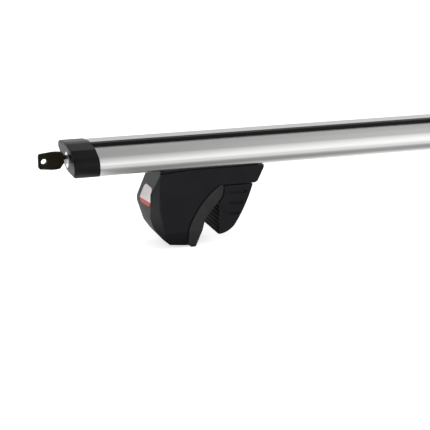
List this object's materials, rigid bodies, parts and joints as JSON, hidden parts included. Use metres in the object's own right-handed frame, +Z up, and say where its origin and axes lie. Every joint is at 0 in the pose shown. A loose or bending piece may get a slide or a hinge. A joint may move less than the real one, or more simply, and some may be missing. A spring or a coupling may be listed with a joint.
{
  "type": "roof rack crossbar",
  "caption": "Wing-section aluminium roof crossbar with a rubber-filled load slot, sliding feet that clamp a roof rail by a screw-driven jaw, and lockable end caps with a key.",
  "frame": {"origin": "middle of the bar's length on the crest of the rubber strip, where a load rests", "axes": "+X along the bar, -Y towards the blunt nose of the wing section, +Z up"},
  "size_m": [1.2267, 0.082, 0.1176],
  "materials": {
    "anodised_aluminium": "satin anodised, fine lengthwise grain",
    "strip_rubber": "matte extruded rubber",
    "cap_plastic": "satin black moulded plastic",
    "foot_plastic": "fine-grained black moulded plastic",
    "pad_rubber": "matte moulded rubber",
    "lock_chrome": "bright chrome",
    "zinc_steel": "zinc plated",
    "key_steel": "nickel plated",
    "key_plastic": "fine-grained black moulded plastic",
    "label_film": "plain pale film with a red-orange band"
  },
  "bodies": {
    "bar": {"bar_extrusion": "anodised_aluminium", "slot_strip": "strip_rubber"},
    "left_foot": {"left_foot_housing": "foot_plastic", "left_saddle_pad": "pad_rubber", "left_bar_gasket": "pad_rubber", "left_carrier": "zinc_steel", "left_foot_screws": "zinc_steel", "foot_label": "label_film"},
    "left_screw": {"left_clamp_screw": "zinc_steel", "left_thrust_washer": "zinc_steel", "left_retaining_ring": "zinc_steel"},
    "left_jaw": {"left_jaw_body": "foot_plastic", "left_jaw_pad": "pad_rubber", "left_jaw_stem": "zinc_steel"},
    "left_cap": {"left_end_cap": "cap_plastic", "left_lock_barrel": "lock_chrome", "left_lock_nut": "zinc_steel"},
    "left_lock": {"left_lock_plug": "lock_chrome", "left_lock_cam": "zinc_steel", "left_cam_screw": "zinc_steel"},
    "right_foot": {"right_foot_housing": "foot_plastic", "right_saddle_pad": "pad_rubber", "right_bar_gasket": "pad_rubber", "right_carrier": "zinc_steel", "right_foot_screws": "zinc_steel"},
    "right_screw": {"right_clamp_screw": "zinc_steel", "right_thrust_washer": "zinc_steel", "right_retaining_ring": "zinc_steel"},
    "right_jaw": {"right_jaw_body": "foot_plastic", "right_jaw_pad": "pad_rubber", "right_jaw_stem": "zinc_steel"},
    "right_cap": {"right_end_cap": "cap_plastic", "right_lock_barrel": "lock_chrome", "right_lock_nut": "zinc_steel"},
    "right_lock": {"right_lock_plug": "lock_chrome", "right_lock_cam": "zinc_steel", "right_cam_screw": "zinc_steel"},
    "key": {"key_blade": "key_steel", "key_bow": "key_plastic"}
  },
  "joints": [
    {"name": "left_foot_slide", "type": "slide", "parent": "bar", "child": "left_foot", "axis": [1, 0, 0], "range_m": [-0.03, 0.12]},
    {"name": "left_screw_turn", "type": "hinge", "parent": "left_foot", "child": "left_screw", "pos_m": [-0.5, -0.008, -0.0202], "axis": [-1, 0, 0], "range_deg": [0, 5400]},
    {"name": "left_jaw_slide", "type": "slide", "parent": "left_foot", "child": "left_jaw", "axis": [1, 0, 0], "range_m": [0, 0.015]},
    {"name": "left_cap_pull", "type": "slide", "parent": "bar", "child": "left_cap", "axis": [-1, 0, 0], "range_m": [0, 0.06]},
    {"name": "left_lock_turn", "type": "hinge", "parent": "left_cap", "child": "left_lock", "pos_m": [-0.59, -0.003, -0.0154], "axis": [1, 0, 0], "range_deg": [0, 90]},
    {"name": "right_foot_slide", "type": "slide", "parent": "bar", "child": "right_foot", "axis": [-1, 0, 0], "range_m": [-0.03, 0.12]},
    {"name": "right_screw_turn", "type": "hinge", "parent": "right_foot", "child": "right_screw", "pos_m": [0.5, -0.008, -0.0202], "axis": [1, 0, 0], "range_deg": [0, 5400]},
    {"name": "right_jaw_slide", "type": "slide", "parent": "right_foot", "child": "right_jaw", "axis": [-1, 0, 0], "range_m": [0, 0.015]},
    {"name": "right_cap_pull", "type": "slide", "parent": "bar", "child": "right_cap", "axis": [1, 0, 0], "range_m": [0, 0.06]},
    {"name": "right_lock_turn", "type": "hinge", "parent": "right_cap", "child": "right_lock", "pos_m": [0.59, -0.003, -0.0154], "axis": [1, 0, 0], "range_deg": [0, 90]},
    {"name": "key_pull", "type": "slide", "parent": "left_lock", "child": "key", "axis": [-1, 0, 0], "range_m": [0, 0.028]}
  ],
  "couplings": [
    {"joint": "left_screw_turn", "follows": "left_jaw_slide", "rad_per_m": 6283.2},
    {"joint": "right_screw_turn", "follows": "right_jaw_slide", "rad_per_m": 6283.2}
  ]
}
